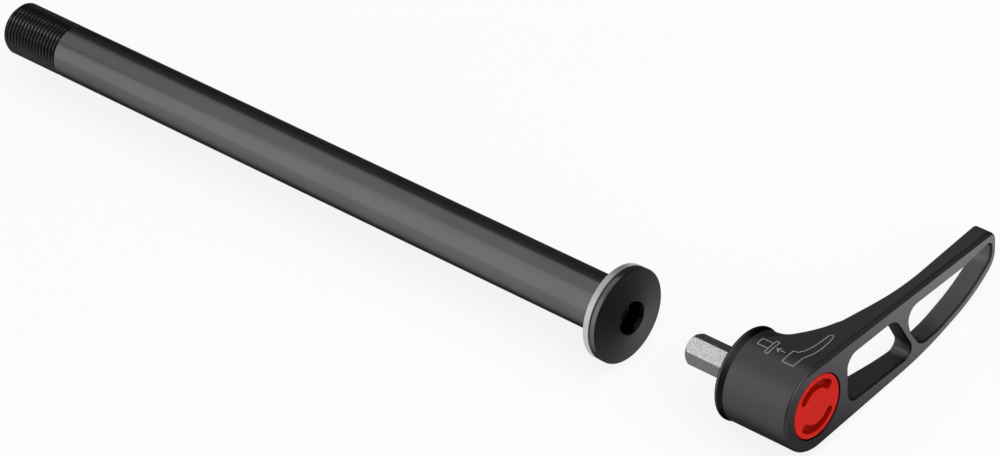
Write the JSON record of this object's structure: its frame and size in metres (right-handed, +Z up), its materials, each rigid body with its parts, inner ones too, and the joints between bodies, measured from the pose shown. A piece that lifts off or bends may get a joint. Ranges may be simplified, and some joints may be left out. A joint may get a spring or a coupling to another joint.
{
  "type": "bicycle thru axle",
  "caption": "Hollow thru axle for a bicycle wheel, with a threaded end, a washer behind its cone-faced head and a plug-in hexagonal lever drawn out of the head.",
  "frame": {"origin": "on the axle's axis, in the plane of the washer's bearing face", "axes": "+X along the axle from its thread towards the lever, +Y the side the lever's arm lies out to, +Z up from the surface the part lies on"},
  "size_m": [0.226, 0.0681, 0.0228],
  "materials": {
    "axle": "satin black anodised",
    "ring": "matte black",
    "washer": "satin",
    "lever": "matte black anodised",
    "bit": "blasted matte",
    "cap": "glossy red"
  },
  "bodies": {
    "axle": {"axle_shaft": "axle", "socket_ring": "ring"},
    "washer": {"thrust_washer": "washer"},
    "lever": {"lever_body": "lever", "hex_bit": "bit", "end_cap": "cap"}
  },
  "joints": [
    {"name": "washer_spin", "type": "hinge", "parent": "axle", "child": "washer", "pos_m": [0.0008, 0, 0], "axis": [1, 0, 0], "continuous": true},
    {"name": "lever_plug", "type": "slide", "parent": "axle", "child": "lever", "axis": [-1, 0, 0], "range_m": [0, 0.0299]}
  ]
}
